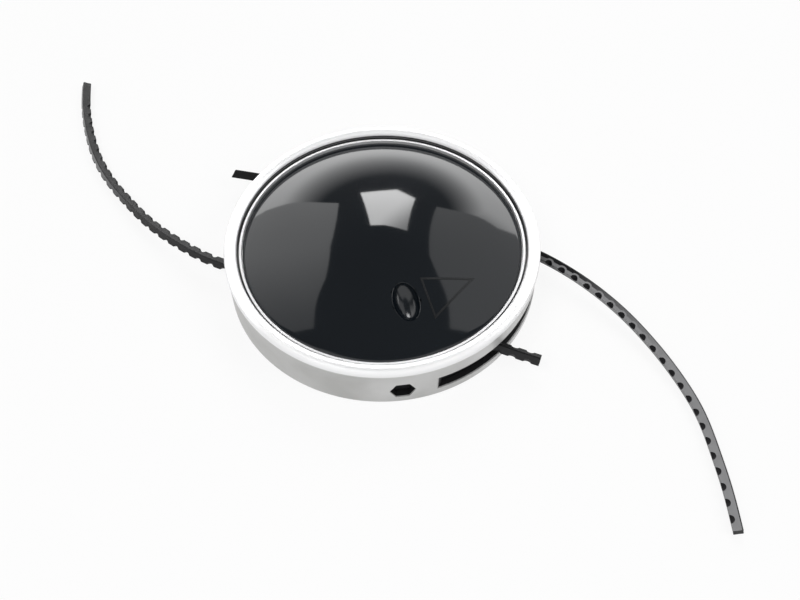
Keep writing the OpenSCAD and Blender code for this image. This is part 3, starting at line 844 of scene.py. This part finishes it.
for node_name, node_object in NODES.items():
    if not node_object.hide_render:
        finish_with(node_object, NODE_FINISH.get(node_name, SPRING_STEEL))
finish_with(cover, cover_gloss())
finish_with(sign, SIGN_BLACK)
LINE_NYLON = line_nylon()
finish_with(left_line, LINE_NYLON)
finish_with(right_line, LINE_NYLON)


# The floor: its side, how far it lies under the head, its tone and its own glow to the eye
FLOOR_SIZE = 12
FLOOR_DROP = 0.05 * MM
FLOOR_TONE = (0.9, 0.9, 0.9, 1)
FLOOR_GLOW = 0.88

# Levels of the surroundings: even light, and in reflections the pale back, its dark horizon,
# the pale front and the rest overhead
WORLD_LEVEL = 0.35
BACK_LEVEL = 4.4
HORIZON_LEVEL = 0.35
FRONT_LEVEL = 1.2
OVERHEAD_LEVEL = 0.22
# The pale back ends in an arch: its height behind the head, its rise to the sides and its cap,
# each with what is added on the right and taken off on the left
ARCH_FOOT = 0.24
ARCH_SPREAD = 1.05
ARCH_SPREAD_RIGHT = 0.1
ARCH_CAP = 0.49
ARCH_CAP_RIGHT = 0.03
# Where those stretches of the surroundings fade in, along the height or the way to the back
ARCH_FADE = (-0.14, 0.06)
BACK_FADE = (-0.25, 0.1)
HORIZON_FADE = (0.02, 0.14)
FRONT_FADE = (-0.2, -0.5)
FRONT_TOP_FADE = (0.97, 0.9)
WHITE = (1, 1, 1, 1)

# Cards that are seen only in reflections: directions of their corners from the head, in order round
WINDOW = [(-0.149, 0.873, 0.464), (0.066, 0.892, 0.447), (0.183, 0.841, 0.509), (0.183, 0.576, 0.796),
          (0.007, 0.622, 0.783), (-0.112, 0.622, 0.775)]
LEFT_CARD = [(-0.28, 0.806, 0.521), (-0.377, 0.474, 0.795), (-0.367, 0.271, 0.89), (-0.391, 0.033, 0.92),
             (-0.8, 0.03, 0.6), (-0.72, 0.6, 0.35), (-0.518, 0.752, 0.408)]
RIGHT_CARD = [(0.299, 0.782, 0.546), (0.321, 0.393, 0.862), (0.363, 0.029, 0.931), (0.8, 0.03, 0.6),
              (0.72, 0.6, 0.4), (0.518, 0.665, 0.538)]
# How each card dims: the way along it, the stretch of that way, and the share that is left at its end
WINDOW_FADE = ((0.8, 0, 0.6), (0.62, 0.98), 0.4)
LEFT_FADE = ((0, -1, 0), (-0.9, 0.0), 0.45)


def floor_piece():
    """White paper under the head: it glows to the eye, keeps a shadow, and is clear from below."""
    bpy.ops.object.select_all(action="DESELECT")
    bpy.ops.mesh.primitive_plane_add(size=FLOOR_SIZE, location=(0, 0, -FLOOR_DROP))
    floor = bpy.context.object
    floor.name = "floor"
    bpy.ops.object.transform_apply(location=True, rotation=True, scale=True)
    made, nodes, links, shader = material("floor_paper")
    shader.inputs["Base Color"].default_value = FLOOR_TONE
    shader.inputs["Roughness"].default_value = 0.9
    shader.inputs["Specular IOR Level"].default_value = 0.1
    path = nodes.new("ShaderNodeLightPath")
    white = nodes.new("ShaderNodeEmission")
    white.inputs["Color"].default_value = WHITE
    share = nodes.new("ShaderNodeMath")
    share.operation = "MAXIMUM"
    links.new(path.outputs["Is Camera Ray"], share.inputs[0])
    links.new(path.outputs["Is Glossy Ray"], share.inputs[1])
    level = nodes.new("ShaderNodeMath")
    level.operation = "MULTIPLY"
    level.inputs[1].default_value = FLOOR_GLOW
    links.new(share.outputs["Value"], level.inputs[0])
    both = nodes.new("ShaderNodeMixShader")
    links.new(level.outputs["Value"], both.inputs["Fac"])
    links.new(shader.outputs["BSDF"], both.inputs[1])
    links.new(white.outputs["Emission"], both.inputs[2])
    under = nodes.new("ShaderNodeNewGeometry")
    clear = nodes.new("ShaderNodeBsdfTransparent")
    sides = nodes.new("ShaderNodeMixShader")
    links.new(under.outputs["Backfacing"], sides.inputs["Fac"])
    links.new(both.outputs["Shader"], sides.inputs[1])
    links.new(clear.outputs["BSDF"], sides.inputs[2])
    links.new(sides.outputs["Shader"], nodes["Material Output"].inputs["Surface"])
    finish_with(floor, made)


floor_piece()


def world_light():
    """White to the eye. In reflections, pale low at the back and in front, and dark overhead."""
    world = bpy.data.worlds.new("studio")
    bpy.context.scene.world = world
    world.use_nodes = True
    nodes, links = world.node_tree.nodes, world.node_tree.links

    def sum_up(operation, *values):
        """One step of arithmetic on outputs and plain numbers."""
        node = nodes.new("ShaderNodeMath")
        node.operation = operation
        for socket, value in zip(node.inputs, values):
            if isinstance(value, (int, float)):
                socket.default_value = value
            else:
                links.new(value, socket)
        return node.outputs["Value"]

    where = nodes.new("ShaderNodeTexCoord")
    parts = nodes.new("ShaderNodeSeparateXYZ")
    links.new(where.outputs["Generated"], parts.inputs["Vector"])
    x, y, z = (parts.outputs[axis] for axis in "XYZ")
    level = sum_up("SQRT", sum_up("ADD", sum_up("MULTIPLY", x, x), sum_up("MULTIPLY", y, y)))
    sideways = sum_up("DIVIDE", sum_up("ABSOLUTE", x), level)
    forward = sum_up("DIVIDE", y, level)
    right = sum_up("SIGN", x)
    spread = sum_up("MULTIPLY_ADD", right, ARCH_SPREAD_RIGHT, ARCH_SPREAD)
    arch = sum_up("MULTIPLY_ADD", sum_up("MULTIPLY", sideways, sideways), spread, ARCH_FOOT)
    top = sum_up("MINIMUM", arch, sum_up("MULTIPLY_ADD", right, ARCH_CAP_RIGHT, ARCH_CAP))
    under_top = band(nodes, links, sum_up("SUBTRACT", top, z), *ARCH_FADE)
    behind = band(nodes, links, forward, *BACK_FADE)
    risen = band(nodes, links, z, *HORIZON_FADE)
    back_level = sum_up("MULTIPLY_ADD", risen, BACK_LEVEL - HORIZON_LEVEL, HORIZON_LEVEL)
    pale_back = sum_up("MULTIPLY", sum_up("MULTIPLY", under_top, behind), back_level)
    before = band(nodes, links, forward, *FRONT_FADE)
    under_zenith = band(nodes, links, z, *FRONT_TOP_FADE)
    pale_front = sum_up("MULTIPLY", sum_up("MULTIPLY", before, under_zenith), FRONT_LEVEL)
    glow = sum_up("MAXIMUM", sum_up("MAXIMUM", pale_back, pale_front), OVERHEAD_LEVEL)
    mirror = nodes.new("ShaderNodeBackground")
    links.new(glow, mirror.inputs["Strength"])
    even = nodes["Background"]
    even.inputs["Color"].default_value = WHITE
    even.inputs["Strength"].default_value = WORLD_LEVEL
    mirror.inputs["Color"].default_value = WHITE
    white = nodes.new("ShaderNodeBackground")
    white.inputs["Color"].default_value = WHITE
    path = nodes.new("ShaderNodeLightPath")
    glossy = nodes.new("ShaderNodeMixShader")
    links.new(path.outputs["Is Glossy Ray"], glossy.inputs["Fac"])
    links.new(even.outputs["Background"], glossy.inputs[1])
    links.new(mirror.outputs["Background"], glossy.inputs[2])
    seen = nodes.new("ShaderNodeMixShader")
    links.new(path.outputs["Is Camera Ray"], seen.inputs["Fac"])
    links.new(glossy.outputs["Shader"], seen.inputs[1])
    links.new(white.outputs["Background"], seen.inputs[2])
    links.new(seen.outputs["Shader"], nodes["World Output"].inputs["Surface"])


world_light()


def softbox(name, corners, reach, strength, fade=None):
    """A glowing card that is seen only in reflections. reach is how far its corners are from the head."""
    mesh = bpy.data.meshes.new(name)
    mesh.from_pydata([Vector(c).normalized() * reach for c in corners], [], [tuple(range(len(corners)))])
    card = bpy.data.objects.new(name, mesh)
    bpy.context.scene.collection.objects.link(card)
    made = bpy.data.materials.new(name)
    made.use_nodes = True
    nodes, links = made.node_tree.nodes, made.node_tree.links
    nodes.remove(nodes["Principled BSDF"])
    glow = nodes.new("ShaderNodeEmission")
    glow.inputs["Strength"].default_value = strength
    links.new(glow.outputs["Emission"], nodes["Material Output"].inputs["Surface"])
    if fade:
        way, stretch, share_left = fade
        where = nodes.new("ShaderNodeTexCoord")
        along = nodes.new("ShaderNodeVectorMath")
        along.operation = "DOT_PRODUCT"
        along.inputs[1].default_value = way
        links.new(where.outputs["Object"], along.inputs[0])
        level = nodes.new("ShaderNodeMapRange")
        level.interpolation_type = "SMOOTHSTEP"
        level.inputs["From Min"].default_value = stretch[0]
        level.inputs["From Max"].default_value = stretch[1]
        level.inputs["To Min"].default_value = strength
        level.inputs["To Max"].default_value = strength * share_left
        links.new(along.outputs["Value"], level.inputs["Value"])
        links.new(level.outputs["Result"], glow.inputs["Strength"])
    finish_with(card, made)
    card.visible_camera = False
    card.visible_diffuse = False
    card.visible_shadow = False


def lamp(name, at, size, power):
    """A round lamp that faces the head and isn't seen in reflections."""
    data = bpy.data.lights.new(name, "AREA")
    data.shape = "DISK"
    data.size = size
    data.energy = power
    made = bpy.data.objects.new(name, data)
    bpy.context.scene.collection.objects.link(made)
    made.location = at
    made.rotation_euler = (-Vector(at)).to_track_quat("-Z", "Y").to_euler()
    made.visible_glossy = False


softbox("window_card", WINDOW, reach=1.6, strength=9.5, fade=WINDOW_FADE)
softbox("left_card", LEFT_CARD, reach=1.7, strength=2.0, fade=LEFT_FADE)
softbox("right_card", RIGHT_CARD, reach=1.7, strength=1.15)
lamp("key_lamp", at=(-0.5, -0.5, 1.1), size=0.7, power=6)
lamp("fill_lamp", at=(0.8, -0.3, 0.8), size=0.6, power=3)
lamp("back_lamp", at=(0.1, 0.9, 0.9), size=0.8, power=4)

bpy.context.scene.view_settings.view_transform = "Standard"
